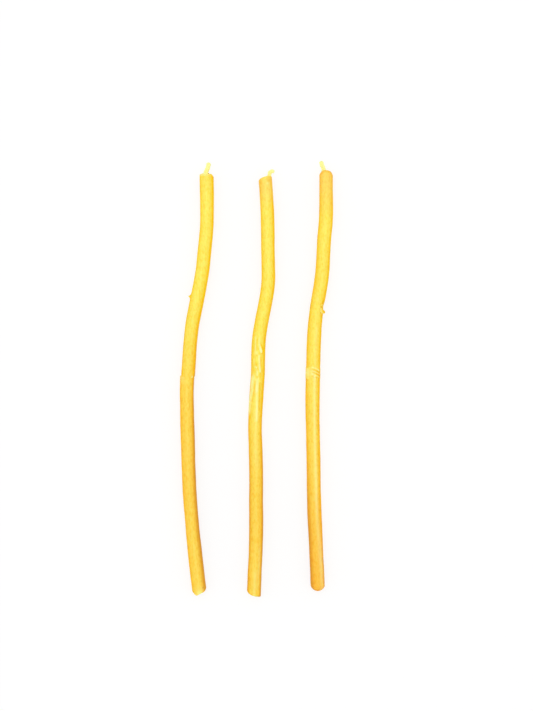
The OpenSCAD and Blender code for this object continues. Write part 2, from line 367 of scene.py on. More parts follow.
# Hollows between the tears, with amber as painted shade: places, width and amber
HOLLOWS = [
    ([(102.2, -1.0), (99.0, -1.15), (97.3, -1.2), (95.0, -1.5), (92.0, -1.95)], 0.36, 0.65),
    ([(119.4, 1.3), (118.2, 1.85), (116.6, 2.3), (114.9, 1.8)], 0.42, 0.6),
    ([(110.2, -0.85), (109.0, -0.45)], 0.35, 0.5),
    ([(113.5, 1.05), (106.5, 1.6)], 0.35, 0.35),
    ([(101.5, 1.0), (95.0, 1.35), (88.0, 1.45)], 0.34, 0.6),
    ([(121.8, -0.95), (116.5, -0.75)], 0.35, 0.45),
    ([(85.4, -2.4), (83.8, -2.5)], 0.5, 0.35),
]
HOLLOW_DEPTH = 0.07
# The rolled ridge, whose paleness is a painted highlight, and the streaks by the butt: relief, paleness,
# places, width and fade
ROLLED = [
    (0.06, 0.2, [(94, 0.4), (60, 0.2)], 0.9, 12),
    (0.0, 0.22, [(12, 0.3), (-3, 0.1)], 0.65, 3),
    (0.0, 0.17, [(24, 1.9), (4, 1.8)], 0.6, 5),
]
MIDDLE_SPOTS = [
    ("relief", -0.22, 53.7, -3.2, 0.35, 0.5),
    ("pale", 0.6, 53.7, -3.2, 0.35, 0.5),
    ("relief", -0.16, 5.8, 3.2, 0.3, 0.5),
    # painted shade in the nick by the butt
    ("deep", 0.5, 5.8, 3.2, 0.3, 0.5),
    ("pale", 0.4, 196.0, 0.9, 0.5, 0.6),
    ("amber", 0.4, 197.6, 1.7, 0.9, 0.6),
    ("amber", 0.3, 196.0, -2.2, 0.6, 0.6),
]
MIDDLE_FLUSHES = [
    ("pale", 0.15, (183, 193), "all", (0, 1)),
    ("amber", 0.4, (184, 196), "left", (0.2, 0.95)),
    # painted shade on both flanks of the lower half
    ("deep", 0.8, (95, 45), "right", (0.62, 1.0)),
    ("deep", 0.5, (95, 45), "left", (0.62, 1.0)),
]


def middle_marks(s, arc):
    """Tears are raised and pale, and hollows are sunk and warmed with painted shade. Each is its own
    number times a trail, and they add up where they meet."""
    marks = no_marks(s)
    for places, width, paleness in TEARS:
        tear = trail(s, arc, places, width, fade=TEAR_FADE * width)
        marks["relief"] += TEAR_H * tear
        marks["pale"] += paleness * tear
        marks["amber"] -= TEAR_COOLING * paleness * tear
    for places, width, amber in HOLLOWS:
        hollow = trail(s, arc, places, width)
        marks["relief"] -= HOLLOW_DEPTH * hollow
        marks["amber"] += amber * hollow
    for relief, paleness, *line in ROLLED:
        rolled = trail(s, arc, *line)
        marks["relief"] += relief * rolled
        marks["pale"] += paleness * rolled
    add_spots(marks, s, arc, MIDDLE_SPOTS)
    add_flushes(marks, s, arc, MIDDLE_FLUSHES)
    return marks


# %% [markdown]
# ## The marks of the right candle
# A ridge runs up from the butt to a pale band, where the wax was pinched thicker: smooth on the left,
# scored with slanted grooves on the right. Above it a nail dug into the edge and left a nick, from which
# a chip curls away. The ridges and crests carry painted highlights, and the grooves, the gash and both
# flanks of the lower half carry painted shade.

# %% Right marks
# The band: its ends, how far they fade, its height, and the depth and rate of the waves of its edge
BAND = (101.2, 105.9)
BAND_FADE, BAND_H = 0.6, 0.13
BAND_WAVE, BAND_RATE = 0.3, 1.7
# The smooth left part of the band: its middle as distance along and side, half length and half width
SMOOTH = (103.8, -2.4, 2.3, 2.8)
# Grooves of the band and the crest above them, pale with a painted highlight, places as [side, distance
# along]
GROOVES = [
    [(-0.3, 105.3), (1.2, 104.75), (2.7, 103.9)],
    [(-0.1, 103.95), (1.2, 103.3), (2.7, 102.45)],
    [(-0.6, 102.2), (1.7, 101.4)],
]
GROOVE_W, GROOVE_DEPTH = 0.3, 0.22
CREST = [(-0.5, 106.3), (1.3, 105.7), (2.6, 104.8)]
CREST_W, CREST_H = 0.36, 0.06
# A fainter crest lies so far below each of the upper two grooves
CREST_STEP, CREST_SHARE = 0.75, 0.5
# The two ridges, places as [distance along, side], and the gash above the chip, as [side, distance]
RIDGE = [(102.5, 0.75), (88, 0.75), (60, 0.85), (12, 1.2)]
RIDGE_W, RIDGE_H = 0.65, 0.1
UPPER_RIDGE = [(126, 0.9), (107, 0.8)]
UPPER_W = 0.6
GASH = [(1.55, 135.4), (2.5, 134.75), (3.2, 134.0)]
GASH_W, GASH_DEPTH = 0.4, 0.35
# Where the ridge comes up along the candle, and the gash round it, in mm
RIDGE_FROM, GASH_FROM = (5, 50), (1.0, 3.0)
# Paleness, amber and depth that these marks give, the paleness of crests and ridges being painted
# highlight and the amber and depth of grooves and the gash painted shade, and the flank on which the
# band is cooler, as sines
BAND_PALE, CREST_HIGHLIGHT, RIDGE_HIGHLIGHT, UPPER_HIGHLIGHT = 0.5, 0.65, 0.5, 0.22
GROOVE_SHADE, GASH_SHADE, GASH_DARK_SHADE = 0.65, 0.8, 0.95
BAND_COOLING, COOL_FLANK = 0.5, (0.3, 0.9)
RIGHT_SPOTS = [
    ("relief", -0.65, 135.7, 3.15, 1.4, 1.6),
    ("pale", 0.5, 103.1, -0.4, 0.45, 0.5),
    ("pale", 0.5, 102.1, 0.7, 0.5, 0.4),
    ("pale", 0.3, 136.2, 2.1, 0.35, 0.4),
    ("pale", 0.35, 12.0, 2.0, 16.0, 1.1),
    ("amber", 0.5, 116.5, 2.8, 0.6, 0.45),
    ("amber", 0.8, 137.5, 2.3, 1.1, 0.7),
    ("amber", 0.7, 136.5, 1.35, 0.4, 0.35),
    ("amber", 0.3, 139.4, 1.75, 1.0, 0.6),
    ("amber", 0.3, 101.7, -0.6, 0.35, 0.6),
    ("amber", 0.3, 198.6, -1.9, 0.7, 0.6),
    ("amber", 0.3, 198.6, 2.0, 0.7, 0.5),
    ("deep", 0.45, 137.5, 2.35, 0.8, 0.5),
]
RIGHT_FLUSHES = [
    ("pale", 0.14, (176, 194), "all", (0, 1)),
    ("amber", 0.3, (176, 192), "both", (0.3, 1.0)),
    ("amber", 0.3, (197, 199.5), "all", (0, 1)),
    # painted shade on both flanks of the lower half
    ("deep", 0.75, (75, 25), "left", (0.35, 1.0)),
    ("deep", 0.6, (40, 8), "right", (0.66, 1.0)),
]


def right_marks(s, arc):
    """The band is a span with a wavy edge, and less amber on its left. Grooves and the gash are sunk and
    darkened with painted shade, and crests and ridges are raised and pale with painted highlights. They
    add up where they meet."""
    marks = no_marks(s)
    band = span(s + BAND_WAVE * np.sin(BAND_RATE * arc), *BAND, BAND_FADE)
    groove = sum(score(s, arc, places, GROOVE_W) for places in GROOVES)
    below = [[(side, along - CREST_STEP) for side, along in places] for places in GROOVES[:2]]
    crest = CREST_SHARE * sum(score(s, arc, places, GROOVE_W) for places in below)
    crest += score(s, arc, CREST, CREST_W)
    ridge = trail(s, arc, RIDGE, RIDGE_W, fade=2) * ease(s, *RIDGE_FROM)
    upper = trail(s, arc, UPPER_RIDGE, UPPER_W, fade=4)
    gash = score(s, arc, GASH, GASH_W) * ease(arc, *GASH_FROM)
    marks["relief"] += BAND_H * band + CREST_H * crest + RIDGE_H * ridge
    marks["relief"] -= GROOVE_DEPTH * groove + GASH_DEPTH * gash
    marks["pale"] += BAND_PALE * band * patch(s, arc, *SMOOTH) + CREST_HIGHLIGHT * crest
    marks["pale"] += RIDGE_HIGHLIGHT * ridge + UPPER_HIGHLIGHT * upper
    marks["amber"] += GROOVE_SHADE * groove + GASH_SHADE * gash
    marks["amber"] -= BAND_COOLING * band * ease(-round_right(arc), *COOL_FLANK)
    marks["deep"] += GASH_DARK_SHADE * gash
    add_spots(marks, s, arc, RIGHT_SPOTS)
    add_flushes(marks, s, arc, RIGHT_FLUSHES)
    return marks


# %% [markdown]
# ## Ends
# A flat cut is a slanted plane over the round section, and two cuts meet in a soft crease, which a
# soft minimum of the two heights gives. A dome is the cap of a ball, which may be drawn out and
# flattened. Both are heights above the end of the line, for a point of the section that lies so far
# to the right and so far up.

# %% Heights of the ends
CREASE = 0.18
# Cuts, each as (tilt to the right in degrees, distance out)
LEFT_BUTT = [(-19.5, -0.25), (50, 1.5), (-60, 1.75)]
LEFT_TOP = [(0, -0.2), (50, 1.72)]
MIDDLE_BUTT = [(7, -0.05), (25, 0.15), (49, 1.2)]
MIDDLE_TOP = [(15, 0.6), (-13, -0.2), (-29, 0.33), (-50, 1.38)]
# Domes, each as the radius of the ball, its height and its power
BUTT_DOME = (3.5, 3.5, 2)
TOP_DOME = (3.37, 3.7, 2.6)


def plane(side, tilt, out):
    """Height of a cut: the distance out less the side times the sine of the tilt, over the cosine."""
    tilt = np.radians(tilt)
    return (out - side * np.sin(tilt)) / np.cos(tilt)


def cut_end(cuts, crease=CREASE):
    """The soft minimum of the cuts: minus the logarithm of the sum of falling exponentials."""
    def height(side, up):
        falling = sum(np.exp(-plane(side, *cut) / crease) for cut in cuts)
        return -crease * np.log(falling) + 0 * up
    return height


def domed_end(ball_r, ball_h, power):
    """The cap of a ball, whose highest point is at height 0. The depth is its height times one less
    the root of one less the share of its radius to a power: 2 for a round cap, more for a flat one."""
    def height(side, up):
        share = np.clip(np.hypot(side, up) / ball_r, 0.0, 1.0) ** power
        return ball_h * (np.sqrt(1 - share) - 1)
    return height


left.update(butt=cut_end(LEFT_BUTT, crease=0.3), top=cut_end(LEFT_TOP), open_butt=True)
middle.update(butt=cut_end(MIDDLE_BUTT), top=cut_end(MIDDLE_TOP, crease=0.16), open_butt=True)
right.update(butt=domed_end(*BUTT_DOME), top=domed_end(*TOP_DOME), open_butt=False)
for c in (left, middle, right):
    heights = [round(float(c[end](0.0, 0.0)), 2) for end in ("butt", "top")]
    print(c["name"], "butt and top lie past the line's ends by mm", heights)

# %% [markdown]
# ## The shell of a coat
# A coat is one closed skin. Where the butt is cut open, it runs under the cap and down inside the
# bore, out over the butt, up the outside and in over the top to the wick. A domed coat has only the
# outside. Every ring has the same number of points, so the whole skin is one grid, and rings lie
# closer together where there are fine marks.

# %% Rings of a coat
AROUND = 144
COARSE, FINE = 0.6, 0.18
ZONE_FADE = 2.0
SAMPLES = 4000
PHI = np.linspace(0, 2 * np.pi, AROUND, endpoint=False)[None, :]
COS, SIN = np.cos(PHI), np.sin(PHI)


def ring_places(length, zones):
    """Shares of the length at which rings lie: the density of rings is summed and read backwards."""
    s = np.linspace(0, length, SAMPLES)
    fine = np.clip(sum(span(s, *zone, ZONE_FADE) for zone in zones), 0, 1)
    density = 1 / COARSE + (1 / FINE - 1 / COARSE) * fine
    count = np.concatenate([[0.0], np.cumsum((density[1:] + density[:-1]) / 2 * np.diff(s))])
    return np.interp(np.linspace(0, count[-1], int(count[-1])), count, s / length)[:, None]


def outer_surface(c, s, phi):
    """Radius of the coat with its marks, and how far a mark shifts it to the right."""
    arc = wrapped((np.pi / 2 - phi) * MEAN_R) + 0 * s
    marks = c["marks"](s + 0 * phi, arc)
    return c["radius"](s) + unevenness(s, phi, c["seed"]) + marks["relief"], marks["shift"]


def butt_s(c, radius):
    """Distance along of the butt's face, all round at a radius."""
    return -c["butt"](-radius * COS, radius * SIN)


def top_s(c, radius):
    """Distance along of the top's face, all round at a radius."""
    return c["line"]["length"] + c["top"](radius * COS, radius * SIN)


# %% The outside of a coat
RIM = 0.35
RIM_RINGS = 8
FACE_RINGS = 22
CROWD = 1.8
END_DEPTH = 2.0
PINHOLE = 0.02
SKIRT_FADE = 1.6
TURN = np.linspace(0, np.pi / 2, RIM_RINGS)[1:, None]
SHRINK = np.linspace(0, 1, FACE_RINGS)[1:-1, None] ** CROWD
GROW = np.linspace(1, 0, FACE_RINGS)[:-1, None] ** CROWD


def skirt(c, x, z):
    """Wax that climbs the wick, at places of the top: its height and its paleness. The reach turns
    from one on the left to one on the right. The height is a power of one less the distance over the
    reach, and the paleness falls off in a straight line, which ends a little further out."""
    climb_h, reach_left, reach_right, paleness, power = c["skirt"]
    far = np.hypot(x - c["wick_side"], z)
    toward = ease((x - c["wick_side"]) / np.maximum(far, 0.01), -1, 1)
    share = far / (reach_left + (reach_right - reach_left) * toward)
    return climb_h * np.clip(1 - share, 0, 1) ** power, paleness * np.clip(SKIRT_FADE - share, 0, 1)


def coat_shape(c):
    """The grid of a coat's outside as arrays of s, right and up, from the middle of the butt to the
    wick. On the wall, s runs evenly from the butt's edge to the top's edge. On the rim of a cut, radius
    and height follow a quarter circle, and a dome has no rim of its own. On an end face, rings shrink
    towards its middle, and lie closer together by its rim."""
    length = c["line"]["length"]
    step = RIM if c["open_butt"] else 0.0
    butt_r, _ = outer_surface(c, 0 * PHI + END_DEPTH, PHI)
    top_r, _ = outer_surface(c, 0 * PHI + length - END_DEPTH, PHI)
    low, high = butt_s(c, butt_r) + step, top_s(c, top_r) - step
    wall_s = low + ring_places(length, c["zones"]) * (high - low)
    wall_r, shift = outer_surface(c, wall_s, PHI)

    rim_r = wall_r[-1:] - RIM * (1 - np.cos(TURN))
    rim_s = top_s(c, rim_r) - step * (1 - np.sin(TURN))
    face_x = rim_r[-1:] * COS * (1 - SHRINK) + c["wick_side"] * SHRINK
    face_z = rim_r[-1:] * SIN * (1 - SHRINK)
    climb, _ = skirt(c, face_x, face_z)
    face_s = length + c["top"](face_x, face_z) + climb

    foot_r = wall_r[:1] - RIM * (1 - np.cos(TURN[::-1]))
    foot_s = butt_s(c, foot_r) + step * (1 - np.sin(TURN[::-1]))
    inner = c["bore"] if c["open_butt"] else PINHOLE
    heel_r = foot_r[:1] - (foot_r[:1] - inner) * GROW

    s = np.concatenate([butt_s(c, heel_r), foot_s, wall_s, rim_s, face_s])
    x = np.concatenate([heel_r * COS, foot_r * COS, wall_r * COS + shift, rim_r * COS, face_x])
    z = np.concatenate([heel_r * SIN, foot_r * SIN, wall_r * SIN, rim_r * SIN, face_z])
    return s, x, z


# %% The masks of a coat
# Painted shade of the underside, as orange, and the shares of the radius below the line between which it
# comes up
UNDERSIDE_SHADE, UNDER_FROM = 0.85, (0.0, 0.6)
CUT_ORANGE = 0.85
CAP_SPOT_R = 0.45
# Painted shade of the upper half, as orange towards the rims: gain, more of it on the right, share of
# the straight rise, the steep rise
RIM_SHADE_GAIN, RIGHT_SHADE_GAIN = 0.9, 0.28
RIGHT_TURN = (-0.3, 0.9)
SLOW_SHARE = 0.6
STEEP_RISE = (0.58, 0.9)
# Rings of the two end faces, and the ring at the edge of each
BUTT_FACE, BUTT_EDGE = slice(0, FACE_RINGS - 1), FACE_RINGS - 1
TOP_FACE, TOP_EDGE = slice(2 - FACE_RINGS, None), 1 - FACE_RINGS


def painted_rim_shade(sideways):
    """How orange the upper half is painted, as shade, from the sine of the angle to the right of the
    crown: a straight rise, with a steeper one towards either rim, and stronger on the right, away from
    the lamp."""
    far = np.abs(sideways)
    gain = RIM_SHADE_GAIN + RIGHT_SHADE_GAIN * ease(sideways, *RIGHT_TURN)
    return gain * (SLOW_SHARE * far + (1 - SLOW_SHARE) * ease(far, *STEEP_RISE))


def fade_in(mask, face, share, edge):
    """On an end face, a mask fades from its rim to the mean of the rim in the middle."""
    mask[face] = mask[face] * share + mask[edge].mean() * (1 - share)


def coat_masks(c, s, x, z):
    """Paleness, depth and orange of a coat's outside. The orange of the wall is painted shade: it
    follows the height of a place over the line, as a share of the radius there, and is the same all over
    on the underside. On cuts it is the same all over as well."""
    marks = c["marks"](s, wrapped((np.pi / 2 - PHI) * MEAN_R) + 0 * s)
    pale, deep = marks["pale"], marks["deep"]
    radius = np.hypot(x, z)
    for mask in (pale, deep, marks["amber"]):
        fade_in(mask, BUTT_FACE, radius[BUTT_FACE] / radius[BUTT_EDGE], BUTT_EDGE)
        fade_in(mask, TOP_FACE, 1 - SHRINK, TOP_EDGE)
    radius[BUTT_FACE] = radius[BUTT_EDGE]
    radius[TOP_FACE] = radius[TOP_EDGE]
    rise = np.clip(z / radius, -1, 1)
    under = ease(-rise, *UNDER_FROM)
    sideways = np.sign(x) * np.where(z > 0, np.sqrt(1 - rise**2), 1.0)
    # painted shade: orange towards the rims and all over the underside
    flank = painted_rim_shade(sideways) * (1 - under) + UNDERSIDE_SHADE * under
    if c["open_butt"]:
        flank[BUTT_FACE] = CUT_ORANGE
        flank[TOP_FACE] = CUT_ORANGE
    top_x, top_z = x[TOP_FACE], z[TOP_FACE]
    spot_x, spot_z, spot_depth = c["cap_spot"]
    spot = np.exp(-((np.hypot(top_x - spot_x, top_z - spot_z) / CAP_SPOT_R) ** 2))
    pale[BUTT_FACE] = np.maximum(pale[BUTT_FACE], c["butt_pale"])
    pale[TOP_FACE] = np.maximum(pale[TOP_FACE], skirt(c, top_x, top_z)[1])
    deep[TOP_FACE] = np.maximum(deep[TOP_FACE], spot_depth * spot)
    return {"pale": pale, "deep": deep, "flank": flank + marks["amber"]}


# %% [markdown]
# ## From rings to a mesh
# A grid of rings becomes quads, and a fan of triangles closes each end. The direction of the faces
# is settled by the signed volume: the sum of the triple products of the triangles is positive only
# when they all face outwards.

# %% Ring mesh
def ring_faces(rings, around):
    """Indices of the quads between rings, and of the two fans that close the ends."""
    i = np.arange(rings - 1)[:, None] * around
    j = np.arange(around)[None, :]
    k = (j + 1) % around
    quads = np.stack([i + j, i + k, i + around + k, i + around + j], -1).reshape(-1, 4)
    first, last = rings * around, rings * around + 1
    top = (rings - 1) * around
    fans = np.concatenate([
        np.stack([np.full(around, first), k[0], j[0]], -1),
        np.stack([np.full(around, last), top + j[0], top + k[0]], -1),
    ])
    return quads, fans


def with_poles(values):
    """A mask over a grid of rings as one row, with the means of the end rings for the two poles."""
    return np.concatenate([values.ravel(), [values[0].mean(), values[-1].mean()]])


def ring_mesh(name, tubes, masks=None):
    """One smooth mesh of closed tubes. Each tube is an array of rings by points by three, in mm."""
    points, quads, fans, start = [], [], [], 0
    for tube in tubes:
        rings, around = tube.shape[:2]
        own_quads, own_fans = ring_faces(rings, around)
        poles = np.stack([tube[0].mean(0), tube[-1].mean(0)])
        own = np.concatenate([tube.reshape(-1, 3), poles])
        a, b, d = own[own_quads[:, 0]], own[own_quads[:, 1]], own[own_quads[:, 3]]
        if np.einsum("ij,ij->i", a - own.mean(0), np.cross(b - a, d - a)).sum() < 0:
            own_quads, own_fans = own_quads[:, ::-1], own_fans[:, ::-1]
        points.append(own)
        quads.append(own_quads + start)
        fans.append(own_fans + start)
        start += len(own)
    points = np.concatenate(points) * MM
    faces = [*np.concatenate(quads).tolist(), *np.concatenate(fans).tolist()]
    mesh = bpy.data.meshes.new(name)
    mesh.from_pydata(points.tolist(), [], faces)
    mesh.polygons.foreach_set("use_smooth", np.ones(len(mesh.polygons), bool))
    for mask, values in (masks or {}).items():
        attribute = mesh.attributes.new(mask, "FLOAT", "POINT")
        attribute.data.foreach_set("value", values.astype(np.float32))
    mesh.update()
    made = bpy.data.objects.new(name, mesh)
    bpy.context.scene.collection.objects.link(made)
    print(name, len(points), "points,", len(faces), "faces")
    return made


# %% [markdown]
# ## Building a shader
# Each finish is a small graph of nodes. One helper adds a node, sets its sockets and links what is
# given as another node's output, so that a graph reads from top to bottom like a recipe.

# %% Node helper
def add(tree, kind, inputs=None, **settings):
    """A new node with its settings, whose sockets are set or linked by name or number."""
    node = tree.nodes.new(kind)
    for key, value in settings.items():
        setattr(node, key, value)
    for key, value in (inputs or {}).items():
        if isinstance(value, bpy.types.NodeSocket):
            tree.links.new(value, node.inputs[key])
        else:
            node.inputs[key].default_value = value
    return node


def srgb(red, green, blue):
    """A colour as it is seen on a screen, from 0 to 255, as the linear one that a shader takes."""
    c = np.array([red, green, blue]) / 255
    linear = np.where(c <= 0.04045, c / 12.92, ((c + 0.055) / 1.055) ** 2.4)
    return (*linear.tolist(), 1.0)


def tinted(tree, factor, colour_a, colour_b, blend="MIX"):
    """The output of a colour mix."""
    mix = add(tree, "ShaderNodeMix", data_type="RGBA", blend_type=blend)
    for socket, value in (("Factor_Float", factor), ("A_Color", colour_a), ("B_Color", colour_b)):
        target = next(i for i in mix.inputs if i.identifier == socket)
        if isinstance(value, bpy.types.NodeSocket):
            tree.links.new(value, target)
        else:
            target.default_value = value
    return next(o for o in mix.outputs if o.identifier == "Result_Color")


def bumped(tree, height, strength, distance):
    """The normals of a surface that is raised by a height."""
    sockets = {"Height": height, "Strength": strength, "Distance": distance}
    return add(tree, "ShaderNodeBump", sockets).outputs[0]


# %% [markdown]
# ## Mottled wax, shared by all wax finishes
# Beeswax is cloudy: it has long faint streaks from being drawn and rolled, soft blotches, and a
# fine grain of bloom. The group puts these out as masks and as a height, and each finish decides
# how strongly to use them.

# %% Group of mottled wax
DRAWN_OUT = (1, 0.07, 1)
PULLED = (1, 0.4, 1)
GRAIN_SHARE = 0.3


def mottle_group():
    """Streaks are noise drawn out along the candle, blotches are soft noise of about two millimetres,
    speckle is noise of a millimetre or two, and grain is finer still. The height is a weighted sum of
    streaks, blotches and grain."""
    group = bpy.data.node_groups.new("mottled_wax", "ShaderNodeTree")
    group.interface.new_socket("Place", in_out="INPUT", socket_type="NodeSocketVector")
    for mask in ("Streaks", "Blotches", "Speckle", "Grain", "Height"):
        group.interface.new_socket(mask, in_out="OUTPUT", socket_type="NodeSocketFloat")
    place = add(group, "NodeGroupInput").outputs["Place"]
    drawn = add(group, "ShaderNodeMapping", {"Vector": place, "Scale": DRAWN_OUT}).outputs[0]
    pulled = add(group, "ShaderNodeMapping", {"Vector": place, "Scale": PULLED}).outputs[0]
    made = {
        "Streaks": {"Vector": drawn, "Scale": 1300, "Detail": 3},
        "Blotches": {"Vector": place, "Scale": 620, "Detail": 2},
        "Speckle": {"Vector": pulled, "Scale": 1300, "Detail": 3},
        "Grain": {"Vector": place, "Scale": 2600, "Detail": 4},
    }
    for mask, sockets in made.items():
        made[mask] = add(group, "ShaderNodeTexNoise", sockets).outputs[0]
    coarse = add(group, "ShaderNodeMath", {0: made["Streaks"], 1: made["Blotches"]}, operation="ADD")
    height = add(group, "ShaderNodeMath", {
        0: made["Grain"], 1: GRAIN_SHARE, 2: coarse.outputs[0],
    }, operation="MULTIPLY_ADD")
    add(group, "NodeGroupOutput", {**made, "Height": height.outputs[0]})
    return group


MOTTLE = mottle_group()
print("group", MOTTLE.name, "with", len(MOTTLE.nodes), "nodes")


# %% Parts of every finish
def mask_of(tree, name):
    """The output of one of the masks that a mesh carries."""
    return add(tree, "ShaderNodeAttribute", attribute_name=name).outputs["Fac"]


def ranged(tree, value, low, high):
    """A mask from 0.3 to 0.7 stretched to lie between two values."""
    return add(tree, "ShaderNodeMapRange", {
        "Value": value, "From Min": 0.3, "From Max": 0.7, "To Min": low, "To Max": high,
    }).outputs[0]


def times(tree, a, b):
    """The output of a product of two masks."""
    return add(tree, "ShaderNodeMath", {0: a, 1: b}, operation="MULTIPLY").outputs[0]


def new_material(name):
    """An empty material, its tree and its output node."""
    material = bpy.data.materials.new(name)
    material.use_nodes = True
    material.node_tree.nodes.clear()
    return material, material.node_tree, add(material.node_tree, "ShaderNodeOutputMaterial")


def mottle_at_place(tree):
    """The place on a piece, and the outputs of the mottle there."""
    place = add(tree, "ShaderNodeTexCoord").outputs["Object"]
    return place, add(tree, "ShaderNodeGroup", {"Place": place}, node_tree=MOTTLE).outputs


# %% [markdown]
# ## Finish of the coat
# The crown of a candle is lemon yellow towards the wick and honey towards the butt, which paints the
# light falling off towards the butt. The orange of the flanks is painted shade, where less light reaches
# the sides and the underside. Pale is bruised wax, and painted highlight on ridges, crests and lit
# edges, and deep brown is mostly painted shade. The mesh carries these as masks, one number at each
# point, so the colours stay where they belong from every side. Light goes a little way into wax, red
# furthest, which the shader's own subsurface sockets give. A thin flake lets it out again at once, so
# flakes have the same finish with hardly any of that.

# %% Coat material
LEMON = srgb(255, 245, 120)
HONEY = srgb(255, 202, 81)
# tint that multiplies in the painted shade of the flank mask
RIM_SHADE_TINT = (1.0, 0.71, 0.0, 1.0)
CLOUD = (0.985, 0.86, 0.42, 1.0)
# colour of the deep mask, which is mostly painted shade, and of the specks
BROWN = srgb(210, 148, 44)
# colour of the pale mask: bloom of bruised wax, and painted highlights on ridges, crests and lit edges
BLOOM_AND_HIGHLIGHT = srgb(255, 251, 168)
WAX_IOR = 1.44
# How strongly each kind of mottle clouds the colour, where it is low and where it is high
CLOUDING = {"Streaks": (-0.1, 0.3), "Blotches": (-0.08, 0.25), "Speckle": (-0.5, 0.8)}
SPECKS = (-0.45, 0.65)


def coat_material(name, let_in):
    """Honey over lemon by the warm mask, a painted fall of light towards the butt, times orange by the
    flank mask, painted shade towards the rims and underneath, times the mottle, then brown by the deep
    mask, mostly painted shade, with specks on warm flanks, and the pale mask last, bloom and painted
    highlights together. The last value is how much of the light is let into the wax."""
    material, tree, output = new_material(name)
    _, mottle = mottle_at_place(tree)
    warm, flank = mask_of(tree, "warm"), mask_of(tree, "flank")
    colour = tinted(tree, warm, LEMON, HONEY)
    colour = tinted(tree, flank, colour, RIM_SHADE_TINT, "MULTIPLY")
    for kind, strength in CLOUDING.items():
        colour = tinted(tree, ranged(tree, mottle[kind], *strength), colour, CLOUD, "MULTIPLY")
    colour = tinted(tree, mask_of(tree, "deep"), colour, BROWN)
    specks = times(tree, times(tree, warm, flank), ranged(tree, mottle["Speckle"], *SPECKS))
    colour = tinted(tree, specks, colour, BROWN)
    colour = tinted(tree, mask_of(tree, "pale"), colour, BLOOM_AND_HIGHLIGHT)
    shader = add(tree, "ShaderNodeBsdfPrincipled", {
        "Base Color": colour,
        "Roughness": ranged(tree, mottle["Grain"], 0.4, 0.6),
        "IOR": WAX_IOR,
        "Specular IOR Level": 0.12,
        "Subsurface Weight": let_in,
        "Subsurface Radius": (1.0, 0.55, 0.25),
        "Subsurface Scale": 0.7 * MM,
        "Normal": bumped(tree, mottle["Height"], strength=0.35, distance=0.06 * MM),
    })
    tree.links.new(shader.outputs[0], output.inputs["Surface"])
    return material


COAT = coat_material("beeswax_coat", let_in=0.35)
FLAKE = coat_material("beeswax_flake", let_in=0.05)
print("finishes", COAT.name, "and", FLAKE.name)

# %% [markdown]
# ## The three coats
# Each coat gets its marks, the profile of its colour from the butt to the top, and the skirt of wax
# that climbs the wick. It takes the place of the plain solid, and rides on the same candle.

# %% Coats
COAT_T = 0.75
CAP_RINGS, BORE_RINGS = 6, 60

# Zones are stretches with fine rings. A skirt is height, reach to the left and to the right, paleness
# and power. A cap spot is right, up and depth. Warmth is given at distances along, and its honey towards
# the butt paints the light falling off towards the bottom.
left.update(
    marks=left_marks, seed=11, zones=[(0, 5), (102, 105.5), (139, 144), (197, 201)],
    bore=2.58, wick_side=-0.3, skirt=(1.3, 3.0, 1.7, 0.95, 1.2),
    butt_pale=0.15, cap_spot=(1.0, 0.9, 0.5),
    warm=[(0, 0.5), (60, 0.62), (95, 0.5), (125, 0.2), (150, 0.05), (190, 0.08), (200, 0.15)],
)
middle.update(
    marks=middle_marks, seed=23, zones=[(0, 8), (52, 56), (90, 124), (196, 200)],
    bore=2.52, wick_side=2.05, skirt=(0.3, 1.4, 1.1, 0.85, 1.5),
    butt_pale=0.15, cap_spot=(-1.6, 1.5, 0.3),
    warm=[(0, 0.5), (35, 0.6), (60, 0.45), (90, 0.2), (120, 0.08), (183, 0.08), (193, 0.42)],
)
right.update(
    marks=right_marks, seed=37, zones=[(0, 4), (99, 108), (132, 141), (196, 200)],
    wick_side=-1.15, skirt=(0.35, 1.1, 1.2, 0.3, 1.5),
    butt_pale=0.0, cap_spot=(2.0, 1.0, 0.5),
    warm=[(0, 1.0), (30, 0.85), (60, 0.5), (95, 0.3), (120, 0.15), (176, 0.14), (194, 0.55)],
)


def warmth(c, s):
    """The warm mask of a candle, in straight lines between the given distances: honey towards the butt,
    a painted fall of light.
    """
    return np.interp(s, *np.array(c["warm"]).T)


def bore_rings(c):
    """The inside of an open coat, from the wick down to the butt: out under the cap, which is as thick
    as the coat, and then down the wall of the bore."""
    under = np.linspace(PINHOLE, c["bore"], CAP_RINGS)[:-1, None]
    down = np.linspace(0, 1, BORE_RINGS)[:, None]
    head, foot = top_s(c, c["bore"]) - COAT_T, butt_s(c, c["bore"])
    s = np.concatenate([top_s(c, under) - COAT_T, head + down * (foot - head)])
    radius = np.concatenate([under, c["bore"] + 0 * down])
    return s, radius * COS, radius * SIN


def make_coat(c):
    """The closed skin of one coat. Soft wax lies flat where it meets the table, so heights under
    the table are lifted to it."""
    s, x, z = coat_shape(c)
    masks = coat_masks(c, s, x, z)
    if c["open_butt"]:
        inside = bore_rings(c)
        hidden = np.zeros(inside[0].shape)
        s, x, z = (np.concatenate(pair) for pair in zip(inside, (s, x, z)))
        masks = {mask: np.concatenate([hidden, values]) for mask, values in masks.items()}
    tube = beside(c["line"], s, x, np.maximum(c["level"] + z, 0.0))
    masks["warm"] = warmth(c, s)
    ready = {mask: with_poles(np.clip(values, 0, 1)) for mask, values in masks.items()}
    coat = ring_mesh(c["name"] + "_coat", [tube], ready)
    coat.data.materials.append(COAT)
    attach(coat, c["name"] + "_candle")
    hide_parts(c["name"] + "_wax_coat")


for c in (left, middle, right):
    make_coat(c)

# %% [markdown]
# ## Flakes and the chip
# A flake is a leaf of wax, rooted in the coat and lifted at its tip: an oval that is carried along
# a short line on the wax, narrow at its root, rounded at its tip and thinner towards it. Displacing
# the coat alone could not give its free edge. A crumb is a small lump that sits on the wax.

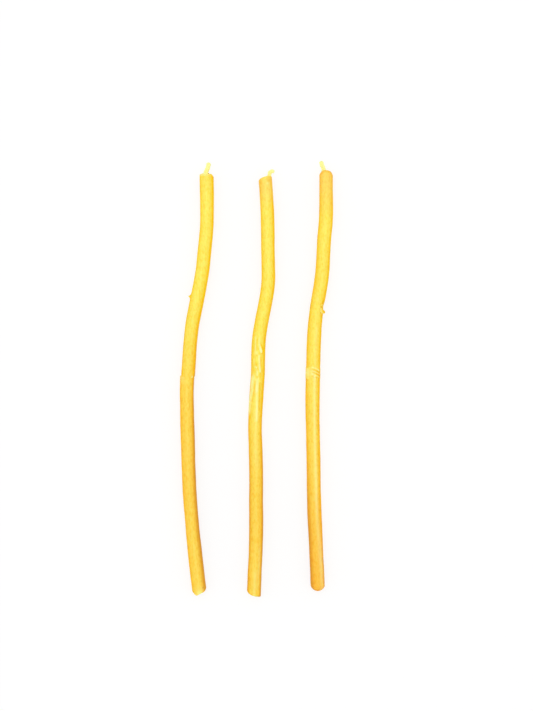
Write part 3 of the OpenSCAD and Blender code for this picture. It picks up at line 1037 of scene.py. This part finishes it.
# %% Leaves of wax
LEAF_RINGS, LEAF_AROUND = 28, 18
LEAF_POWER = 0.6
ROOT_DEPTH = 0.05
EDGE_POWER = 0.7
ROUNDING = 3.6
# Paleness of a leaf at its root, as a share of that at its tip
ROOT_PALE = 0.4
# Raggedness of a leaf: depth, rate along it, rate with the place of its root, and how its edges differ
RAGS = [(0.16, 9, 7, 1), (0.1, 23, 3, 0)]
# Waves of a crumb: depth as a share of its size, and rates round it and along it
LUMPS = [(0.2, 3, 2), (0.12, 2, 7)]
CRUMB_ORANGE = 0.3
PSI = np.linspace(0, 2 * np.pi, LEAF_AROUND, endpoint=False)[None, :]


def leaf(c, root, tip, width, lift, thick, power=LEAF_POWER):
    """Rings of a flattened oval from a root to a tip, each [distance along, arc]. The width grows from
    the root with a power, rounds off at the tip and is ragged by two sines. The lift grows with the
    square. A small power makes it blunter and lifts it sooner. With the rings come its orange of painted
    rim shade, its warmth, its lit edge, its shaded edge, and how far it has grown out of its root."""
    t = np.linspace(0.01, 0.995, LEAF_RINGS)[:, None]
    ahead, sideways = tip[0] - root[0], tip[1] - root[1]
    full = np.hypot(ahead, sideways)
    edge = np.sign(np.cos(PSI)) * np.abs(np.cos(PSI)) ** EDGE_POWER
    ragged = 1 + sum(
        depth * np.sin(rate * t + phase * root[0] + apart * np.sign(edge))
        for depth, rate, phase, apart in RAGS
    )
    across = width / 2 * t**power * np.sqrt(1 - t ** (ROUNDING / power)) * edge * ragged
    s = root[0] + t * ahead - across * sideways / full
    arc = root[1] + t * sideways + across * ahead / full
    phi = np.pi / 2 - arc / MEAN_R
    radius, shift = outer_surface(c, s, phi)
    lifted = lift * t ** (1 + power / LEAF_POWER)
    out = radius - ROOT_DEPTH + lifted + thick / 2 * (1.2 - 0.7 * t) * np.sin(PSI)
    tube = beside(c["line"], s, out * np.cos(phi) + shift, c["level"] + out * np.sin(phi))
    lit = ease(np.cos(PSI), 0.35, 0.9) + 0 * t
    shaded = ease(-np.cos(PSI), 0.0, 0.9) * (1.2 - 0.9 * t)
    grown = ease(t, 0.0, 0.5) + 0 * PSI
    return tube, painted_rim_shade(np.cos(phi)), warmth(c, s), lit, shaded, grown


def crumb(c, s, side, up, size):
    """Rings of a small lump, so far up from the candle's middle: a ball whose radius waves a little.
    With the rings come the same five masks as for a leaf, each of them even."""
    turn = np.linspace(0.05, np.pi - 0.05, LEAF_RINGS // 2)[:, None]
    waves = sum(depth * np.sin(around * PSI + along * turn) for depth, around, along in LUMPS)
    lump = size * (1 + waves)
    x = side + lump * np.sin(turn) * np.cos(PSI)
    z = up + lump * np.sin(turn) * np.sin(PSI)
    tube = beside(c["line"], s - size * np.cos(turn) + 0 * PSI, x, c["level"] + z)
    even = 1 + 0 * x
    return tube, CRUMB_ORANGE * even, c["warm"][-1][1] * even, even, even, even


def make_leaves(c, name, leaves):
    """All the leaves of one candle as one piece, which rides on it. Each has its own paleness, the
    paleness of its lit edge, the depth of colour of its shaded edge, its maker and its shape."""
    tubes, masks = [], {"pale": [], "deep": [], "flank": [], "warm": []}
    for paleness, edge_pale, depth, maker, *shape in leaves:
        tube, flank, warm, lit, shaded, grown = maker(c, *shape)
        tubes.append(tube)
        pale = np.maximum(paleness * (ROOT_PALE + (1 - ROOT_PALE) * grown), edge_pale * lit)
        for mask, values in zip(masks, (pale, depth * shaded, flank, warm)):
            masks[mask].append(with_poles(np.clip(values, 0, 1)))
    piece = ring_mesh(name, tubes, {mask: np.concatenate(rows) for mask, rows in masks.items()})
    piece.data.materials.append(FLAKE)
    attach(piece, c["name"] + "_candle")


# %% The leaves
# Flakes: paleness, root and tip as [distance along, side], width, lift and thickness
FLAKES = [
    (1.0, (119.6, 0.5), (115.3, 1.5), 1.4, 0.25, 0.14),
    (0.85, (103.2, -0.3), (96.6, 0.05), 1.3, 0.12, 0.12),
    (0.8, (104.6, -2.1), (99.4, -2.45), 1.3, 0.12, 0.12),
    (0.75, (98.6, -2.35), (93.0, -2.75), 1.3, 0.12, 0.12),
    (1.0, (110.8, 0.65), (106.1, 1.1), 0.75, 0.14, 0.12),
    (0.8, (109.4, -1.4), (107.9, -0.5), 0.5, 0.16, 0.12),
    (0.75, (107.4, -0.25), (104.4, -0.2), 0.7, 0.12, 0.12),
    (0.5, (120.6, -1.45), (116.0, -1.35), 0.6, 0.08, 0.1),
]
make_leaves(middle, "middle_flakes", [
    (paleness, 0, 0, leaf, (root_s, arc_at(root)), (tip_s, arc_at(tip)), *size)
    for paleness, (root_s, root), (tip_s, tip), *size in FLAKES
])
make_leaves(right, "right_chip", [
    # the chip's lower-left edge has a painted highlight and its upper-right edge painted shade
    (0, 0.7, 0.9, leaf, (134.9, 2.05), (132.4, 3.65), 2.7, 1.1, 0.5, 0.2),
])
make_leaves(left, "left_flecks", [
    (0.9, 0, 0, leaf, (104.1, 2.35), (103.1, 2.45), 0.55, 0.15, 0.2),
    (1.0, 0, 0, crumb, 199.9, -0.5, 3.1, 0.28),
    (1.0, 0, 0, crumb, 199.85, 0.9, 3.0, 0.26),
    (0, 0, 0.9, crumb, 200.6, 1.0, 0.85, 0.29),
])

# %% [markdown]
# ## The wicks
# A candle wick is a plait of three cotton strands, soaked in wax. In a plait each strand swings from
# side to side as a sine, and over and under at twice that rate, a third of a turn after the next.
# One plait runs from the butt to its free end. It bends at the top of the wax, so it follows the candle
# below the bend and the wick's end above it.

# %% Lines of the wicks
EXIT_L = 2.0
NECK_H = 0.9
BEND_L = 1.2


def wick_line(c, lean, tip_l, straight_l, curl_l, curl):
    """The candle's stretches, with the last one turned into an S that drifts to the wick's side and
    a straight exit, then the neck, the bend, a straight length, a curl and the free end."""
    last_l = c["stretches"][-1, 0]
    drift_l = (last_l - EXIT_L) / 2
    turn = np.degrees(c["wick_side"] / drift_l)
    inside = [(l, t) for l, t, _ in c["stretches"][:-1]]
    inside += [(drift_l, -turn), (drift_l, turn), (EXIT_L, 0)]
    outside = [
        (NECK_H - BEND_L / 2, 0),
        (BEND_L, lean),
        (straight_l - BEND_L / 2, 0),
        (curl_l, curl),
        (tip_l - straight_l - curl_l, 0),
    ]
    return walk(np.array(inside + outside, float), c["start"], c["lean"])


# %% Plait
STRANDS = 3
STRAND_SIDES = 24
BODY_RINGS, END_RINGS = 300, 140
FINE_L = 1.0
PITCH = 4.4
# Swing, dip and radius of a strand, as shares of the wick's width
SWING, DIP, STRAND_R = 0.17, 0.07, 0.34
# Yarns of a strand: their number, depth as a share of its radius, and pitch
YARNS, YARN_DEPTH, YARN_PITCH = 6, 0.06, 1.1
DRAW_IN_L = 0.6
# At the butt: how much a strand swells and how far up, how far up the cut slants it, and its flat end
FILL, FILL_L = 0.5, 3.0
SLANT_L = 4.0
HEEL = np.array([0.3, 0.6, 0.85, 0.95])
STAGGER = 0.07


def plait(c, line, width, start, tip_l):
    """Swing of a strand: sine of the turn. Dip: sine of twice the turn. At the tip, all three draw in
    with the square root of the distance left. At the butt they end on its slanted cut, swollen to
    fill the hole, with a few rings on the flat end, each a little further in than the last."""
    length = line["length"]
    body = length - tip_l - NECK_H - FINE_L
    rings = [
        start + 0 * HEEL,
        np.linspace(start, body, BODY_RINGS),
        np.linspace(body, length, END_RINGS)[1:],
    ]
    s = np.concatenate(rings)[:, None]
    flat = np.concatenate([HEEL, np.ones(len(s) - len(HEEL))])[:, None]
    psi = np.linspace(0, 2 * np.pi, STRAND_SIDES, endpoint=False)[None, :]
    drawn_in = np.sqrt(np.clip((length - s) / DRAW_IN_L, 0.0005, 1.0))
    yarn = 1 + YARN_DEPTH * np.sin(YARNS * psi + 2 * np.pi * s / YARN_PITCH)
    thick = STRAND_R * width * drawn_in * flat * yarn * (1 + FILL * ease(s, FILL_L, 0.0))
    strands = []
    for k in range(STRANDS):
        turn = 2 * np.pi * (s / PITCH + k / STRANDS)
        side = SWING * width * np.sin(turn) * drawn_in + thick * np.cos(psi)
        rise = DIP * width * np.sin(2 * turn) * drawn_in + thick * np.sin(psi)
        slant = c["butt"](-side, rise) - STAGGER * k if c["open_butt"] else 0.0
        strands.append(beside(line, s - slant * ease(s, SLANT_L, 0.0), side, c["level"] + rise))
    return strands


# %% Wick material
COTTON = srgb(255, 253, 168)
SOAKED = srgb(255, 249, 138)


def wick_material():
    """Cotton under a thin skin of wax: pale, with deeper wax where the fibres lie close."""
    material, tree, output = new_material("waxed_cotton")
    place, mottle = mottle_at_place(tree)
    fibre = add(tree, "ShaderNodeTexNoise", {"Vector": place, "Scale": 5200, "Detail": 2}).outputs["Fac"]
    colour = tinted(tree, ranged(tree, fibre, 0.0, 0.35), COTTON, SOAKED)
    colour = tinted(tree, ranged(tree, mottle["Streaks"], 0.0, 0.4), colour, SOAKED)
    shader = add(tree, "ShaderNodeBsdfPrincipled", {
        "Base Color": colour,
        "Roughness": ranged(tree, mottle["Grain"], 0.5, 0.7),
        "Specular IOR Level": 0.2,
        "Subsurface Weight": 0.1,
        "Subsurface Radius": (1.0, 0.8, 0.6),
        "Subsurface Scale": 0.3 * MM,
        "Normal": bumped(tree, fibre, strength=0.3, distance=0.05 * MM),
    })
    tree.links.new(shader.outputs[0], output.inputs["Surface"])
    return material


WICK = wick_material()
print("finish", WICK.name)


def make_wick(c, width, start, lean, tip_l, **curled):
    """One plait that bends between the candle and the end of its wick."""
    line = wick_line(c, lean, tip_l, **curled)
    wick = ring_mesh(c["name"] + "_plaited_wick", plait(c, line, width, start, tip_l))
    wick.data.materials.append(WICK)
    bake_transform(wick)
    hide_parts(c["name"] + "_wick", c["name"] + "_wick_tip")
    bend = beside(line, c["line"]["length"] + NECK_H, 0.0, c["level"])


make_wick(left, width=2.2, start=0.05, lean=-28, tip_l=4.8, straight_l=1.2, curl_l=2.4, curl=20)
make_wick(middle, width=1.9, start=0.05, lean=-16, tip_l=3.5, straight_l=0.8, curl_l=1.3, curl=-70)
make_wick(right, width=2.05, start=1.0, lean=27, tip_l=3.8, straight_l=1.2, curl_l=1.8, curl=-24)

# %% [markdown]
# ## The cores
# The core's solid has the right shape already, and shows only at a cut butt, so it is not made again.
# It keeps its mesh and gets a paler wax. Each dip into the melt left one ring, as in a tree, so the
# colour waves with the distance from the candle's line at its butt.

# %% Core material
CORE_PALE = srgb(255, 226, 126)
CORE_DEEP = srgb(253, 202, 86)
DIP_T = 0.45 * MM
LONG = 1000.0
# How far the mottle makes a ring waver, in radians, and how deep a ring gets
WAVER = (-1.2, 1.2)
RING_DEPTH = 0.6


def core_material(c):
    """Dip rings are a sine of the distance from the line, which a mapping gives when it is centred on
    the butt, turned along the candle and drawn out so far that only the section counts."""
    material, tree, output = new_material(c["name"] + "_beeswax_core")
    place, mottle = mottle_at_place(tree)
    centred = add(tree, "ShaderNodeMapping", {
        "Vector": place,
        "Location": (c["start"][0] * MM, c["start"][1] * MM, c["level"] * MM),
        "Rotation": (0, 0, np.radians(c["lean"])),
        "Scale": (1, LONG, 1),
    }, vector_type="TEXTURE")
    far = add(tree, "ShaderNodeVectorMath", {0: centred.outputs[0]}, operation="LENGTH")
    turn = add(tree, "ShaderNodeMath", {
        0: far.outputs["Value"], 1: 2 * np.pi / DIP_T, 2: ranged(tree, mottle["Speckle"], *WAVER),
    }, operation="MULTIPLY_ADD")
    wave = add(tree, "ShaderNodeMath", {0: turn.outputs[0]}, operation="SINE")
    ring = add(tree, "ShaderNodeMapRange", {
        "Value": wave.outputs[0], "From Min": -1.0, "To Max": RING_DEPTH,
    })
    colour = tinted(tree, ranged(tree, mottle["Grain"], 0.0, 0.5), CORE_PALE, CORE_DEEP)
    colour = tinted(tree, ring.outputs[0], colour, CORE_DEEP)
    shader = add(tree, "ShaderNodeBsdfPrincipled", {
        "Base Color": colour,
        "Roughness": ranged(tree, mottle["Grain"], 0.42, 0.6),
        "IOR": WAX_IOR,
        "Specular IOR Level": 0.2,
        "Normal": bumped(tree, mottle["Height"], strength=0.4, distance=0.06 * MM),
    })
    tree.links.new(shader.outputs[0], output.inputs["Surface"])
    return material


for c in (left, middle, right):
    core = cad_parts[c["name"] + "_wax_core"]
    core.data.materials.clear()
    core.data.materials.append(core_material(c))
    print(core.name, "keeps", len(core.data.polygons), "faces")

# %% [markdown]
# ## Table, lamp and sky
# The photograph has a pure white ground with hardly a shadow. A white table under plain light gives
# that, and for camera and mirror rays most of it is a white glow of strength 1, so that only a faint
# shadow stays. A wide soft lamp from the upper left and a plain sky light the wax at a level at
# which its colours come out as written.

# %% Table
TABLE_SIZE = 6.0
GLOW_SHARE = 0.8
WHITE = (1.0, 1.0, 1.0, 1.0)


def seen_directly(tree):
    """1 for rays from the camera, a mirror or glass, and 0 for the light that falls on things."""
    path = add(tree, "ShaderNodeLightPath").outputs
    seen = path["Is Camera Ray"]
    for kind in ("Is Glossy Ray", "Is Transmission Ray"):
        seen = add(tree, "ShaderNodeMath", {0: seen, 1: path[kind]}, operation="MAXIMUM").outputs[0]
    return seen


half = TABLE_SIZE / 2
corners = [(-half, -half, 0), (half, -half, 0), (half, half, 0), (-half, half, 0)]
table_mesh = bpy.data.meshes.new("table")
table_mesh.from_pydata(corners, [], [(0, 1, 2, 3)])
table = bpy.data.objects.new("table", table_mesh)
bpy.context.scene.collection.objects.link(table)
table_material, tree, output = new_material("white_table")
matt = add(tree, "ShaderNodeBsdfDiffuse", {"Color": WHITE})
glow = add(tree, "ShaderNodeEmission", {"Color": WHITE, "Strength": 1.0})
share = times(tree, seen_directly(tree), GLOW_SHARE)
mixed = add(tree, "ShaderNodeMixShader", {0: share, 1: matt.outputs[0], 2: glow.outputs[0]})
tree.links.new(mixed.outputs[0], output.inputs["Surface"])
table_mesh.materials.append(table_material)
print("table of", TABLE_SIZE, "m")

# %% Lamp and sky
SKY_LEVEL = 0.92
LAMP_WATTS = 1.0
LAMP_SIZE = 0.6
LAMP_PLACE = (-0.1, 0.22, 0.8)

lamp_data = bpy.data.lights.new("soft_lamp", "AREA")
lamp_data.shape = "DISK"
lamp_data.size = LAMP_SIZE
lamp_data.energy = LAMP_WATTS
lamp = bpy.data.objects.new("soft_lamp", lamp_data)
lamp.location = LAMP_PLACE
lamp.rotation_euler = (-lamp.location).to_track_quat("-Z", "Y").to_euler()
lamp.visible_camera = False
bpy.context.scene.collection.objects.link(lamp)

world = bpy.data.worlds.new("plain_sky")
bpy.context.scene.world = world
world.use_nodes = True
tree = world.node_tree
tree.nodes.clear()
dim = add(tree, "ShaderNodeBackground", {"Color": WHITE, "Strength": SKY_LEVEL})
bright = add(tree, "ShaderNodeBackground", {"Color": WHITE, "Strength": 1.0})
sky = add(tree, "ShaderNodeMixShader", {0: seen_directly(tree), 1: dim.outputs[0], 2: bright.outputs[0]})
add(tree, "ShaderNodeOutputWorld", {"Surface": sky.outputs[0]})
bpy.context.scene.view_settings.view_transform = "Standard"
print("lamp of", LAMP_WATTS, "W and sky of", SKY_LEVEL)
